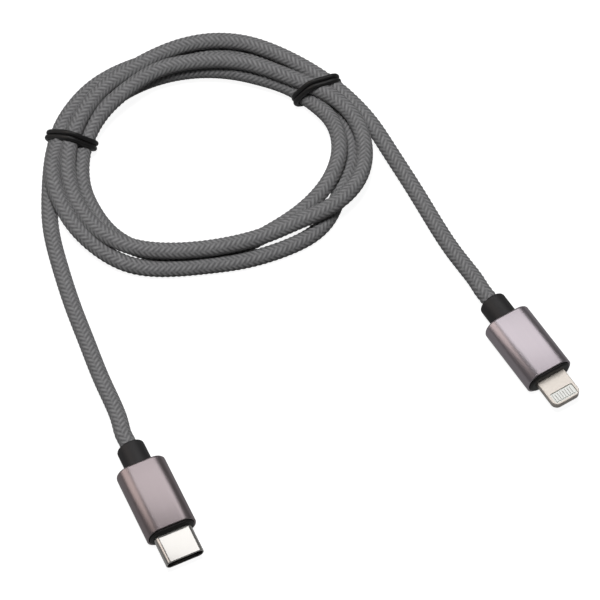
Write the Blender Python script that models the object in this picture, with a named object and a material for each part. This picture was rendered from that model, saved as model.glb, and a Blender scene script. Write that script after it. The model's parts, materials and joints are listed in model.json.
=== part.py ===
"""Braided charging cable: a reversible shell plug on one end, a flat tab plug on the
other, the cord wound in an oval coil that two elastic ties hold together.

Metres, +Z up, standing on z = 0. Each plug is built about its own empty, which sits at
the middle of the sleeve's mouth with +X out of the plug, +Y across it and +Z up.
"""

import math

import bmesh
import bpy
from mathutils import Vector

# Clearances
GAP = 0.0003            # between faces that butt against each other
FIT = 0.0001            # round a piece that nests in another
SOCKET_FIT = 0.00005    # between the stamped pieces inside the shell

# Aluminium sleeve, the same on both plugs
SLEEVE_LENGTH = 0.01616
SLEEVE_WIDTH = 0.0108
SLEEVE_HEIGHT = 0.0064
SLEEVE_CORNER = 0.0030
SLEEVE_WALL = 0.00045
SLEEVE_END_WALL = 0.0008
SLEEVE_RIM_BREAK = 0.0001
SLEEVE_BACK_ROUND = 0.0005

# Moulded pieces in the sleeve
MOULD_DEPTH = 0.0046
MOULD_PROUD = 0.0005
COLLAR_DIAMETER = 0.00585
COLLAR_REACH = 0.0052
COLLAR_ROUND = 0.0007
COLLAR_FLANGE_LENGTH = 0.0013

# Cord, its inner jacket and its crimp
CORD_DIAMETER = 0.00356
JACKET_DIAMETER = 0.0027
CRIMP_WALL = 0.0006
CRIMP_LENGTH = 0.0008

# Circuit board and its two shielding channels
BOARD_WIDTH = 0.0066
BOARD_THICKNESS = 0.0008
BOARD_END_CLEARANCE = 0.0003
SHIELD_WIDTH = 0.0074
SHIELD_HEIGHT = 0.0021
SHIELD_WALL = 0.0002
CHIP_HEIGHT = 0.0007

# Shell plug
SHELL_WIDTH = 0.00825
SHELL_HEIGHT = 0.0024
SHELL_CORNER = 0.00115
SHELL_WALL = 0.00025
SHELL_REACH = 0.00683
SHELL_TIP_BREAK = 0.00015
CARRIER_WIDTH = 0.0064
CARRIER_THICKNESS = 0.0003
CARRIER_SETBACK = 0.0004
GROUND_SPRING_WIDTH = 0.0048
GROUND_SPRING_THICKNESS = 0.00008
GROUND_SPRING_LENGTH = 0.0075
LATCH_THICKNESS = 0.00015
LATCH_HEIGHT = 0.0006
LATCH_HOOK = 0.00035
CONTACT_PITCH = 0.0005
CONTACT_WIDTH = 0.00025
CONTACT_THICKNESS = 0.0001
CONTACT_PLACES = 12
UPPER_CONTACTS = {1: "ground_1", 4: "power_4", 5: "config_5", 6: "data_6",
                  7: "data_7", 9: "power_9", 12: "ground_12"}
LOWER_CONTACTS = {1: "ground_1", 4: "power_4", 9: "power_9", 12: "ground_12"}

# Tab plug
TAB_WIDTH = 0.0067
TAB_THICKNESS = 0.0015
TAB_REACH = 0.00706
TAB_CORNER = 0.0014
TAB_FACE_BREAK = 0.0001
WINDOW_BACK = 0.00405
WINDOW_LENGTH = 0.0026
WINDOW_WIDTH = 0.0055
WINDOW_CORNER = 0.0004
INSERT_SETBACK = 0.00006
PAD_PITCH = 0.0006
PAD_WIDTH = 0.0004
PAD_LENGTH = 0.0019
PAD_THICKNESS = 0.00015
PAD_COUNT = 8

# Where the plugs lie: mouth of the sleeve, and the heading of the plug
SHELL_PLUG_PLACE = (-0.03638, -0.02381)
SHELL_PLUG_HEADING = math.radians(-65.4)
TAB_PLUG_PLACE = (0.04184, 0.01222)
TAB_PLUG_HEADING = math.radians(-58.4)

# Coil: its middle line is an oval about COIL_CENTRE, slightly pear shaped
COIL_CENTRE = (-0.0301, 0.0694)
COIL_MEAN_RADIUS = 0.0287
COIL_OVAL = 0.00233
COIL_OVAL_TURN = math.radians(16)
COIL_PEAR = 0.0006
COIL_WIDTH = 0.0092
COIL_HEIGHT = 0.0069
COIL_CORNER = 0.0026
COIL_STATIONS = 64

# Elastic ties round the coil
TIE_THICKNESS = 0.0008
TIE_BREADTH = 0.0026
TIE_ROUND = 0.0003
TIE_PLACES = {"tie_left": math.radians(172), "tie_right": math.radians(36)}

# Free runs of the cord, from the coil to the back of each plug's collar. A run leaves
# the coil at an angle and a height, and its points give the height above a lying cord.
SHELL_RUN_START = (math.radians(209), 0.00002)
SHELL_RUN = [
    (-0.0614, 0.0404, 0.00002),
    (-0.0584, 0.0308, 0.00002),
    (-0.0550, 0.0215, 0.00007),
    (-0.0516, 0.0123, 0.00042),
    (-0.0479, 0.0030, 0.00117),
]
TAB_RUN_START = (math.radians(5.4), 0.0028)
TAB_RUN = [
    (0.0142, 0.0612, 0.0012),
    (0.0185, 0.0527, 0.0006),
    (0.0230, 0.0440, 0.0005),
    (0.0274, 0.0364, 0.0011),
]
RUN_STEP = 2.4 * CORD_DIAMETER

# Colours: (red, green, blue, roughness, metallic)
ALUMINIUM = (0.52, 0.44, 0.46, 0.38, 1.0)
BLACK_MOULD = (0.012, 0.011, 0.011, 0.45, 0.0)
BRIGHT_STEEL = (0.80, 0.78, 0.74, 0.18, 1.0)
SPRING_STEEL = (0.62, 0.61, 0.58, 0.30, 1.0)
NICKEL = (0.78, 0.72, 0.63, 0.24, 1.0)
GOLD = (0.90, 0.68, 0.30, 0.25, 1.0)
PALE_PLASTIC = (0.72, 0.74, 0.70, 0.40, 0.0)
DARK_PLASTIC = (0.02, 0.02, 0.02, 0.50, 0.0)
BOARD_GREEN = (0.02, 0.10, 0.05, 0.45, 0.0)
CHIP_BLACK = (0.015, 0.015, 0.016, 0.35, 0.0)
TINPLATE = (0.60, 0.60, 0.58, 0.35, 1.0)
JACKET_WHITE = (0.60, 0.60, 0.58, 0.50, 0.0)
BRAID_GREY = (0.15, 0.15, 0.16, 0.75, 0.0)
ELASTIC_BLACK = (0.010, 0.010, 0.010, 0.60, 0.0)

ARC_STEPS = 5
SLEEVE_BACK = -SLEEVE_LENGTH
COLLAR_BACK = SLEEVE_BACK - COLLAR_REACH
MOULD_BACK = -MOULD_DEPTH
BOARD_FRONT = MOULD_BACK - GAP
BOARD_TOP = BOARD_THICKNESS / 2
CAVITY_WIDTH = SLEEVE_WIDTH - 2 * SLEEVE_WALL
CAVITY_HEIGHT = SLEEVE_HEIGHT - 2 * SLEEVE_WALL
CAVITY_CORNER = SLEEVE_CORNER - SLEEVE_WALL
JACKET_BORE = JACKET_DIAMETER + 2 * FIT
COLLAR_FLANGE_FRONT = SLEEVE_BACK + SLEEVE_END_WALL + FIT + COLLAR_FLANGE_LENGTH
CRIMP_BACK = COLLAR_FLANGE_FRONT + FIT
CRIMP_FRONT = CRIMP_BACK + CRIMP_LENGTH
BOARD_BACK = CRIMP_FRONT + BOARD_END_CLEARANCE
COIL_BASE = TIE_THICKNESS + GAP


def clear_scene():
    for old in list(bpy.data.objects):
        bpy.data.objects.remove(old, do_unlink=True)


def finish(name, finish_values):
    """A material from one of the colour rows above."""
    red, green, blue, roughness, metallic = finish_values
    material = bpy.data.materials.new(name)
    material.use_nodes = True
    surface = material.node_tree.nodes["Principled BSDF"]
    surface.inputs["Base Color"].default_value = (red, green, blue, 1.0)
    surface.inputs["Roughness"].default_value = roughness
    surface.inputs["Metallic"].default_value = metallic
    return material


def add_piece(name, shape, colour, parent=None, sharp_above=40):
    """Makes the named object of a closed bmesh, with its faces turned outward."""
    bmesh.ops.recalc_face_normals(shape, faces=shape.faces)
    mesh = bpy.data.meshes.new(name)
    shape.to_mesh(mesh)
    shape.free()
    mesh.shade_smooth()
    mesh.set_sharp_from_angle(angle=math.radians(sharp_above))
    mesh.materials.append(finish(name, colour))
    piece = bpy.data.objects.new(name, mesh)
    bpy.context.scene.collection.objects.link(piece)
    piece.parent = parent
    return piece


def add_empty(name, place, heading=0.0):
    empty = bpy.data.objects.new(name, None)
    empty.location = place
    empty.rotation_euler = (0.0, 0.0, heading)
    bpy.context.scene.collection.objects.link(empty)
    return empty


def rounded(width, height, corner, steps=ARC_STEPS):
    """Outline of a rectangle with round corners, as (across, up) pairs."""
    outline = []
    centres = [(1, 1), (-1, 1), (-1, -1), (1, -1)]
    for quarter, (side, level) in enumerate(centres):
        for step in range(steps + 1):
            angle = math.radians(90) * (quarter + step / steps)
            across = side * (width / 2 - corner) + corner * math.cos(angle)
            up = level * (height / 2 - corner) + corner * math.sin(angle)
            outline.append((across, up))
    return outline


def circle(diameter, steps=ARC_STEPS):
    """A round outline with as many points as rounded() gives."""
    count = 4 * (steps + 1)
    turn = 2 * math.pi / count
    return [(diameter / 2 * math.cos((index + 0.5) * turn),
             diameter / 2 * math.sin((index + 0.5) * turn)) for index in range(count)]


def stand_across(outline, along):
    """Puts an outline upright at a distance along X."""
    return [Vector((along, across, up)) for across, up in outline]


def loft(rings, closed):
    """Skins rings of equal count. A closed loft joins the last ring to the first,
    which gives a pipe with a wall; an open one gets a face over each end."""
    shape = bmesh.new()
    rows = [[shape.verts.new(point) for point in ring] for ring in rings]
    pairs = list(zip(rows, rows[1:]))
    if closed:
        pairs.append((rows[-1], rows[0]))
    for near, far in pairs:
        count = len(near)
        for index in range(count):
            after = (index + 1) % count
            shape.faces.new((near[index], near[after], far[after], far[index]))
    if not closed:
        shape.faces.new(rows[0])
        shape.faces.new(rows[-1])
    return shape


def block(low, high):
    """A box between two opposite corners."""
    shape = bmesh.new()
    bmesh.ops.create_cube(shape, size=1.0)
    for vertex in shape.verts:
        for axis in range(3):
            share = vertex.co[axis] + 0.5
            vertex.co[axis] = low[axis] + share * (high[axis] - low[axis])
    return shape


def prism(outline, low, high, axis):
    """Extrudes an outline of pairs along the named axis."""
    lift = {"x": lambda a, b, t: (t, a, b),
            "y": lambda a, b, t: (a, t, b),
            "z": lambda a, b, t: (a, b, t)}[axis]
    rings = [[Vector(lift(a, b, end)) for a, b in outline] for end in (low, high)]
    return loft(rings, closed=False)


def ribbon(route, thickness):
    """Outline of a strip of even thickness that follows a route of pairs."""
    near, far = [], []
    for index, point in enumerate(route):
        before = Vector(route[max(index - 1, 0)])
        after = Vector(route[min(index + 1, len(route) - 1)])
        direction = (after - before).normalized()
        side = Vector((-direction.y, direction.x)) * thickness / 2
        near.append(tuple(Vector(point) + side))
        far.append(tuple(Vector(point) - side))
    return near + far[::-1]


def add_sleeve(prefix, plug):
    """Drawn aluminium tube, open at the mouth, with a hole for the collar behind."""
    hole = circle(COLLAR_DIAMETER + 2 * FIT)
    rings = []
    rings.append(stand_across(rounded(SLEEVE_WIDTH - 2 * SLEEVE_RIM_BREAK,
                                      SLEEVE_HEIGHT - 2 * SLEEVE_RIM_BREAK,
                                      SLEEVE_CORNER - SLEEVE_RIM_BREAK), 0.0))
    rings.append(stand_across(rounded(SLEEVE_WIDTH, SLEEVE_HEIGHT, SLEEVE_CORNER),
                              -SLEEVE_RIM_BREAK))
    for step in range(4):
        angle = math.radians(30 * step)
        inset = SLEEVE_BACK_ROUND * (1 - math.cos(angle))
        along = SLEEVE_BACK + SLEEVE_BACK_ROUND * (1 - math.sin(angle))
        rings.append(stand_across(rounded(SLEEVE_WIDTH - 2 * inset,
                                          SLEEVE_HEIGHT - 2 * inset,
                                          SLEEVE_CORNER - inset), along))
    rings.append(stand_across(hole, SLEEVE_BACK))
    rings.append(stand_across(hole, SLEEVE_BACK + SLEEVE_END_WALL))
    cavity = rounded(CAVITY_WIDTH, CAVITY_HEIGHT, CAVITY_CORNER)
    rings.append(stand_across(cavity, SLEEVE_BACK + SLEEVE_END_WALL))
    rings.append(stand_across(cavity, 0.0))
    add_piece(prefix + "_sleeve", loft(rings, closed=True), ALUMINIUM, plug)


def add_inner_mould(prefix, plug, slot):
    """Black plug of plastic in the mouth of the sleeve, with a slot for the metal."""
    width = CAVITY_WIDTH - 2 * FIT
    height = CAVITY_HEIGHT - 2 * FIT
    corner = CAVITY_CORNER - FIT
    edge = MOULD_PROUD / 2
    rings = [
        stand_across(rounded(width, height, corner), MOULD_BACK),
        stand_across(rounded(width, height, corner), MOULD_PROUD - edge),
        stand_across(rounded(width - 2 * edge, height - 2 * edge, corner - edge), MOULD_PROUD),
        stand_across(slot, MOULD_PROUD),
        stand_across(slot, MOULD_BACK),
    ]
    add_piece(prefix + "_inner_mould", loft(rings, closed=True), BLACK_MOULD, plug)


def add_collar(prefix, plug):
    """Soft strain relief: a flange inside the sleeve and a round neck behind it."""
    neck = circle(COLLAR_DIAMETER)
    bore = circle(JACKET_BORE)
    flange = rounded(CAVITY_WIDTH - 2 * FIT, CAVITY_HEIGHT - 2 * FIT, CAVITY_CORNER - FIT)
    flange_back = SLEEVE_BACK + SLEEVE_END_WALL + FIT
    rings = [stand_across(bore, COLLAR_BACK)]
    for step in range(4):
        angle = math.radians(90 - 30 * step)
        inset = COLLAR_ROUND * (1 - math.cos(angle))
        along = COLLAR_BACK + COLLAR_ROUND * (1 - math.sin(angle))
        rings.append(stand_across(circle(COLLAR_DIAMETER - 2 * inset), along))
    rings.append(stand_across(neck, flange_back))
    rings.append(stand_across(flange, flange_back))
    rings.append(stand_across(flange, COLLAR_FLANGE_FRONT))
    rings.append(stand_across(bore, COLLAR_FLANGE_FRONT))
    add_piece(prefix + "_strain_relief", loft(rings, closed=True), BLACK_MOULD, plug)


def add_jacket_and_crimp(prefix, plug):
    """The cord's inner jacket inside the collar, and the steel ring crimped on it."""
    jacket = circle(JACKET_DIAMETER)
    rings = [stand_across(jacket, COLLAR_BACK + GAP), stand_across(jacket, CRIMP_FRONT)]
    add_piece(prefix + "_inner_jacket", loft(rings, closed=False), JACKET_WHITE, plug)
    inner = circle(JACKET_BORE)
    outer = circle(JACKET_BORE + 2 * CRIMP_WALL)
    rings = [stand_across(inner, CRIMP_BACK), stand_across(outer, CRIMP_BACK),
             stand_across(outer, CRIMP_FRONT), stand_across(inner, CRIMP_FRONT)]
    add_piece(prefix + "_crimp_ring", loft(rings, closed=True), TINPLATE, plug)


def add_board(prefix, plug, chips):
    """Circuit board, the chips on it and the two channels that shield them."""
    half = BOARD_WIDTH / 2
    shape = block((BOARD_BACK, -half, -BOARD_TOP), (BOARD_FRONT, half, BOARD_TOP))
    add_piece(prefix + "_circuit_board", shape, BOARD_GREEN, plug)
    for name, (along, across, length, width) in chips.items():
        low = (along - length / 2, across - width / 2, BOARD_TOP + SOCKET_FIT)
        high = (along + length / 2, across + width / 2, BOARD_TOP + SOCKET_FIT + CHIP_HEIGHT)
        add_piece(prefix + name, block(low, high), CHIP_BLACK, plug)
    half = SHIELD_WIDTH / 2
    wall = SHIELD_WALL
    for name, level in (("_upper_shield", 1), ("_lower_shield", -1)):
        rim = SOCKET_FIT * level
        roof = SHIELD_HEIGHT * level
        inside = (SHIELD_HEIGHT - wall) * level
        outline = [(-half, rim), (-half, roof), (half, roof), (half, rim),
                   (half - wall, rim), (half - wall, inside),
                   (-half + wall, inside), (-half + wall, rim)]
        shape = prism(outline, BOARD_BACK, BOARD_FRONT - FIT, "x")
        add_piece(prefix + name, shape, TINPLATE, plug)


def add_common_pieces(prefix, plug, slot, chips):
    add_sleeve(prefix, plug)
    add_inner_mould(prefix, plug, slot)
    add_collar(prefix, plug)
    add_jacket_and_crimp(prefix, plug)
    add_board(prefix, plug, chips)


def add_shell(prefix, plug):
    """Drawn steel shell, open at both ends."""
    inset = SHELL_TIP_BREAK
    outer = rounded(SHELL_WIDTH, SHELL_HEIGHT, SHELL_CORNER)
    tip = rounded(SHELL_WIDTH - 2 * inset, SHELL_HEIGHT - 2 * inset, SHELL_CORNER - inset)
    inner = rounded(SHELL_WIDTH - 2 * SHELL_WALL, SHELL_HEIGHT - 2 * SHELL_WALL,
                    SHELL_CORNER - SHELL_WALL)
    rings = [stand_across(tip, SHELL_REACH), stand_across(outer, SHELL_REACH - inset),
             stand_across(outer, MOULD_BACK), stand_across(inner, MOULD_BACK),
             stand_across(inner, SHELL_REACH)]
    add_piece(prefix + "_metal_shell", loft(rings, closed=True), BRIGHT_STEEL, plug)


def add_shell_fittings(prefix, plug):
    """Contact carriers, ground springs and side latches, all inside the shell."""
    back = MOULD_BACK + FIT
    front = SHELL_REACH - CARRIER_SETBACK
    roof = SHELL_HEIGHT / 2 - SHELL_WALL
    spring_high = roof - SOCKET_FIT
    spring_low = spring_high - GROUND_SPRING_THICKNESS
    carrier_high = spring_low - SOCKET_FIT
    carrier_low = carrier_high - CARRIER_THICKNESS
    for side, level in (("_upper", 1), ("_lower", -1)):
        low, high = sorted((carrier_low * level, carrier_high * level))
        half = CARRIER_WIDTH / 2
        shape = block((back, -half, low), (front, half, high))
        add_piece(prefix + side + "_contact_carrier", shape, DARK_PLASTIC, plug)
        low, high = sorted((spring_low * level, spring_high * level))
        half = GROUND_SPRING_WIDTH / 2
        shape = block((front - GROUND_SPRING_LENGTH, -half, low), (front, half, high))
        add_piece(prefix + side + "_ground_spring", shape, SPRING_STEEL, plug)
    side_wall = SHELL_WIDTH / 2 - SHELL_WALL - SOCKET_FIT - LATCH_THICKNESS / 2
    # The cavity narrows above and below its middle, so the latch keeps off the wall.
    rise = LATCH_HEIGHT / 2
    inner_corner = SHELL_CORNER - SHELL_WALL
    narrowing = inner_corner - math.sqrt(inner_corner ** 2 - rise ** 2)
    resting = side_wall - narrowing
    for name, side in (("_left_latch", 1), ("_right_latch", -1)):
        route = [(back, side * resting), (front - 0.0035, side * resting),
                 (front - 0.0016, side * (resting - LATCH_HOOK)),
                 (front - 0.0006, side * (resting - LATCH_HOOK / 3))]
        shape = prism(ribbon(route, LATCH_THICKNESS), -rise, rise, "z")
        add_piece(prefix + name, shape, SPRING_STEEL, plug)
    add_shell_contacts(prefix, plug, carrier_low, back, front)


def add_shell_contacts(prefix, plug, carrier_low, back, front):
    """Sprung strips under each carrier, whose tails lie on the circuit board."""
    running = carrier_low - SOCKET_FIT - CONTACT_THICKNESS / 2
    tail = BOARD_TOP + SOCKET_FIT + CONTACT_THICKNESS / 2
    dip = 0.00013
    route = [(BOARD_FRONT - 0.0016, tail), (BOARD_FRONT - 0.0001, tail),
             (back, running), (front - 0.0030, running),
             (front - 0.0019, running - dip), (front - 0.0008, running)]
    for side, level, places in (("_upper_", 1, UPPER_CONTACTS), ("_lower_", -1, LOWER_CONTACTS)):
        profile = ribbon([(along, up * level) for along, up in route], CONTACT_THICKNESS)
        for place, label in places.items():
            across = level * (place - (CONTACT_PLACES + 1) / 2) * CONTACT_PITCH
            shape = prism(profile, across - CONTACT_WIDTH / 2, across + CONTACT_WIDTH / 2, "y")
            add_piece(prefix + side + label + "_contact", shape, GOLD, plug)


def add_shell_plug():
    prefix = "shell_plug"
    plug = add_empty(prefix + "_axis", (*SHELL_PLUG_PLACE, SLEEVE_HEIGHT / 2), SHELL_PLUG_HEADING)
    slot = rounded(SHELL_WIDTH + 2 * FIT, SHELL_HEIGHT + 2 * FIT, SHELL_CORNER + FIT)
    chips = {"_marker_chip": (BOARD_FRONT - 0.0042, 0.0, 0.0022, 0.0022)}
    add_common_pieces(prefix, plug, slot, chips)
    add_shell(prefix, plug)
    add_shell_fittings(prefix, plug)
    return plug


def tab_outline(inset):
    """Plan of the tab: square behind, with two round corners at its tip."""
    half = TAB_WIDTH / 2 - inset
    tip = TAB_REACH - inset
    corner = TAB_CORNER - inset
    outline = [(MOULD_BACK + inset, half), (MOULD_BACK + inset, -half)]
    for side in (-1, 1):
        for step in range(ARC_STEPS + 1):
            angle = math.radians(90) * step / ARC_STEPS
            if side < 0:
                angle = angle - math.radians(90)
            outline.append((tip - corner + corner * math.cos(angle),
                            side * (half - corner) + corner * math.sin(angle)))
    return outline


def window_outline(inset):
    """Plan of the window in the tab, and with an inset of the insert that fills it."""
    middle = WINDOW_BACK + WINDOW_LENGTH / 2
    outline = rounded(WINDOW_LENGTH - 2 * inset, WINDOW_WIDTH - 2 * inset,
                      WINDOW_CORNER, steps=2)
    return [(middle + along, across) for along, across in outline]


def add_tab(prefix, plug):
    """Flat metal tab with a window right through it near the tip."""
    half = TAB_THICKNESS / 2
    levels = [(-half, TAB_FACE_BREAK), (-half + TAB_FACE_BREAK, 0.0),
              (half - TAB_FACE_BREAK, 0.0), (half, TAB_FACE_BREAK)]
    rings = [[Vector((a, b, up)) for a, b in tab_outline(inset)] for up, inset in levels]
    tab = add_piece(prefix + "_metal_tab", loft(rings, closed=False), NICKEL, plug)
    cutter = add_piece(prefix + "_window_cutter",
                       prism(window_outline(0.0), -TAB_THICKNESS, TAB_THICKNESS, "z"),
                       NICKEL, plug)
    cutter.hide_render = True
    cutter.display_type = "WIRE"
    window = tab.modifiers.new("window", "BOOLEAN")
    window.object = cutter
    window.operation = "DIFFERENCE"
    window.solver = "EXACT"


def add_insert_and_pads(prefix, plug):
    """Plastic insert in the window, and a row of pads on each of its faces."""
    surface = TAB_THICKNESS / 2 - INSERT_SETBACK
    core = surface - PAD_THICKNESS - SOCKET_FIT
    shape = prism(window_outline(SOCKET_FIT), -core, core, "z")
    add_piece(prefix + "_contact_insert", shape, PALE_PLASTIC, plug)
    middle = WINDOW_BACK + WINDOW_LENGTH / 2
    for side, level in (("_top", 1), ("_bottom", -1)):
        for index in range(PAD_COUNT):
            across = level * (index - (PAD_COUNT - 1) / 2) * PAD_PITCH
            low, high = sorted(((surface - PAD_THICKNESS) * level, surface * level))
            shape = block((middle - PAD_LENGTH / 2, across - PAD_WIDTH / 2, low),
                          (middle + PAD_LENGTH / 2, across + PAD_WIDTH / 2, high))
            add_piece(f"{prefix}{side}_pad_{index + 1}", shape, GOLD, plug)


def add_tab_plug():
    prefix = "tab_plug"
    plug = add_empty(prefix + "_axis", (*TAB_PLUG_PLACE, SLEEVE_HEIGHT / 2), TAB_PLUG_HEADING)
    slot = rounded(TAB_WIDTH + 2 * FIT, TAB_THICKNESS + 2 * FIT, TAB_FACE_BREAK + FIT)
    chips = {"_identity_chip": (BOARD_FRONT - 0.0020, 0.0010, 0.0018, 0.0018),
             "_power_chip": (BOARD_FRONT - 0.0050, -0.0010, 0.0016, 0.0016)}
    add_common_pieces(prefix, plug, slot, chips)
    add_tab(prefix, plug)
    add_insert_and_pads(prefix, plug)
    return plug


def coil_frame(angle):
    """The middle line's point, outward direction and centre of curvature there."""
    oval = 2 * (angle - COIL_OVAL_TURN)
    pear = 3 * angle
    radius = COIL_MEAN_RADIUS + COIL_OVAL * math.cos(oval) + COIL_PEAR * math.cos(pear)
    slope = -2 * COIL_OVAL * math.sin(oval) - 3 * COIL_PEAR * math.sin(pear)
    bend = -4 * COIL_OVAL * math.cos(oval) - 9 * COIL_PEAR * math.cos(pear)
    ray = Vector((math.cos(angle), math.sin(angle), 0.0))
    across = Vector((-ray.y, ray.x, 0.0))
    here = Vector((*COIL_CENTRE, 0.0)) + ray * radius
    outward = (ray * radius - across * slope).normalized()
    speed = math.hypot(radius, slope)
    curvature = (radius ** 2 + 2 * slope ** 2 - radius * bend) / speed ** 3
    return here, outward, here - outward / curvature


def coil_section(angle, outline, base):
    """Stands an outline across the coil, with its lowest point at the given base."""
    here, outward, _ = coil_frame(angle)
    lowest = min(up for _, up in outline)
    return [here + outward * across + Vector((0.0, 0.0, base + up - lowest))
            for across, up in outline]


def add_coil():
    """One closed ring that the turns of the cord fill."""
    outline = rounded(COIL_WIDTH, COIL_HEIGHT, COIL_CORNER, steps=2)
    rings = [coil_section(2 * math.pi * index / COIL_STATIONS, outline, COIL_BASE)
             for index in range(COIL_STATIONS)]
    add_piece("cord_coil", loft(rings, closed=True), BRAID_GREY)


def add_tie(name, angle):
    """Elastic band round the coil, turning about the coil's centre of curvature there."""
    here, outward, centre = coil_frame(angle)
    forward = Vector((-outward.y, outward.x, 0.0))
    inner_width = COIL_WIDTH + 2 * GAP
    inner_height = COIL_HEIGHT + 2 * GAP
    rings = []
    for grow, shift in ((0.0, -TIE_BREADTH / 2), (TIE_THICKNESS - TIE_ROUND, -TIE_BREADTH / 2),
                        (TIE_THICKNESS, TIE_ROUND - TIE_BREADTH / 2),
                        (TIE_THICKNESS, TIE_BREADTH / 2 - TIE_ROUND),
                        (TIE_THICKNESS - TIE_ROUND, TIE_BREADTH / 2), (0.0, TIE_BREADTH / 2)):
        outline = rounded(inner_width + 2 * grow, inner_height + 2 * grow,
                          COIL_CORNER + GAP + grow, steps=4)
        middle = Vector((0.0, 0.0, COIL_BASE + COIL_HEIGHT / 2)) + forward * shift
        rings.append([here + outward * across + middle + Vector((0.0, 0.0, up)) - centre
                      for across, up in outline])
    pivot = add_empty(name + "_pivot", centre)
    add_piece(name, loft(rings, closed=True), ELASTIC_BLACK, pivot)


def smooth_points(route, step):
    """Points a step apart on the Catmull-Rom curve through the route."""
    points = [Vector(point) for point in route]
    first = 2 * points[0] - points[1]
    last = 2 * points[-1] - points[-2]
    guides = [first] + points + [last]
    dense = []
    for index in range(len(points) - 1):
        a, b, c, d = guides[index:index + 4]
        for part in range(20):
            t = part / 20
            dense.append(0.5 * (2 * b + (c - a) * t + (2 * a - 5 * b + 4 * c - d) * t ** 2
                                + (3 * b - a - 3 * c + d) * t ** 3))
    dense.append(points[-1])
    lengths = [0.0]
    for near, far in zip(dense, dense[1:]):
        lengths.append(lengths[-1] + (far - near).length)
    count = max(2, round(lengths[-1] / step))
    chosen = []
    for index in range(count + 1):
        target = lengths[-1] * index / count
        nearest = min(range(len(dense)), key=lambda place: abs(lengths[place] - target))
        chosen.append(dense[nearest])
    return chosen


def add_free_run(name, start, route, plug):
    """Tube along the smooth curve from the side of the coil to a plug's collar."""
    angle, lift = start
    here, outward, _ = coil_frame(angle)
    clear_of_coil = COIL_WIDTH / 2 + GAP + CORD_DIAMETER / 2
    lying = CORD_DIAMETER / 2
    first = here + outward * clear_of_coil + Vector((0.0, 0.0, lying + lift))
    middle = [(x, y, lying + height) for x, y, height in route]
    plug_turn = plug.rotation_euler.to_matrix()
    collar = plug.location + plug_turn @ Vector((COLLAR_BACK - GAP, 0.0, 0.0))
    lead = plug.location + plug_turn @ Vector((COLLAR_BACK - CORD_DIAMETER, 0.0, 0.0))
    points = smooth_points([first] + middle + [lead, collar], RUN_STEP)
    curve = bpy.data.curves.new(name, "CURVE")
    curve.dimensions = "3D"
    curve.bevel_depth = CORD_DIAMETER / 2
    curve.bevel_resolution = 2
    curve.use_fill_caps = True
    spline = curve.splines.new("POLY")
    spline.points.add(len(points) - 1)
    for target, point in zip(spline.points, points):
        target.co = (*point, 1.0)
    curve.materials.append(finish(name, BRAID_GREY))
    tube = bpy.data.objects.new(name, curve)
    bpy.context.scene.collection.objects.link(tube)


def main():
    clear_scene()
    shell_plug = add_shell_plug()
    tab_plug = add_tab_plug()
    add_coil()
    for name, angle in TIE_PLACES.items():
        add_tie(name, angle)
    add_free_run("cord_to_shell_plug", SHELL_RUN_START, SHELL_RUN, shell_plug)
    add_free_run("cord_to_tab_plug", TAB_RUN_START, TAB_RUN, tab_plug)


main()
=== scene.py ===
import json
import math

import bmesh
import bpy
import numpy as np
from mathutils import Matrix, Vector

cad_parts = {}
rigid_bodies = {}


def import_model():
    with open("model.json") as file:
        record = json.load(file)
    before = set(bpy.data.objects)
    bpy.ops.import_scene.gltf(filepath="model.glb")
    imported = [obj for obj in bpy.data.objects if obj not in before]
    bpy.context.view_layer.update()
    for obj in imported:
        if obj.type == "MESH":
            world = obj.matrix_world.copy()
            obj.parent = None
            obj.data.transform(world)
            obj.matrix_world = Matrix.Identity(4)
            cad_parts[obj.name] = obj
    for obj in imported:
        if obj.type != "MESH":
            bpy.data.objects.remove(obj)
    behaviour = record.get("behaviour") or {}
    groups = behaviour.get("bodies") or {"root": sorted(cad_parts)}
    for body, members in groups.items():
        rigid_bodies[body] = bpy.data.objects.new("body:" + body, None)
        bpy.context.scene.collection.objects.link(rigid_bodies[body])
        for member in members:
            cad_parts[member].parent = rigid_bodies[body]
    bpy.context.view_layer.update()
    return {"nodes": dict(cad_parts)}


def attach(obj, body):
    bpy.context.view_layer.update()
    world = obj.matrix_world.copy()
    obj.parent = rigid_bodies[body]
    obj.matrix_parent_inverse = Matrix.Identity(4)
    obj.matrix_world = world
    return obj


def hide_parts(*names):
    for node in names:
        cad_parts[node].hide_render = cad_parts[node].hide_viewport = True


bl_info = {
    "name": "Braided Charging Cable",
    "version": (1, 0, 0),
    "blender": (4, 5, 0),
    "location": "View3D > Sidebar > Cable",
    "description": "Braided cord in an oval coil, a shell plug, a tab plug and two elastic ties",
    "category": "Object",
}

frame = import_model()

MM = 0.001
TINY = 1e-6

# How far the shell, the tab and the moulds reach back into the sleeve, and the radius of
# the shell's long edges
ROOT = 0.0046
SHELL_CORNER = 0.00115

# Where each plug lies: middle of its sleeve's mouth, and the way that it points
PLUG_LIFT = 3.2
PLUGS = {
    "shell_plug": ((-36.38, -23.81), math.radians(-65.4)),
    "tab_plug": ((41.84, 12.22), math.radians(-58.4)),
}

# The coil's middle line, in millimetres: an oval, slightly pear shaped
COIL_CENTRE = (-30.1, 69.4)
COIL_MEAN_RADIUS = 28.7
COIL_OVAL = 2.33
COIL_OVAL_TURN = math.radians(16)
COIL_PEAR = 0.6

# Free runs, from the coil to each plug: x, y and height of the cord's middle
SHELL_RUN = [
    (-63.9, 50.6, 1.8), (-61.4, 40.4, 1.8), (-58.4, 30.8, 1.8),
    (-55.0, 21.5, 1.85), (-51.6, 12.3, 2.2), (-47.9, 3.0, 2.95),
]
TAB_RUN = [
    (4.8, 77.5, 5.0), (9.6, 69.4, 4.1), (14.2, 61.2, 2.98),
    (18.5, 52.7, 2.4), (23.0, 44.0, 2.3), (27.4, 36.4, 2.88),
]

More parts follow.
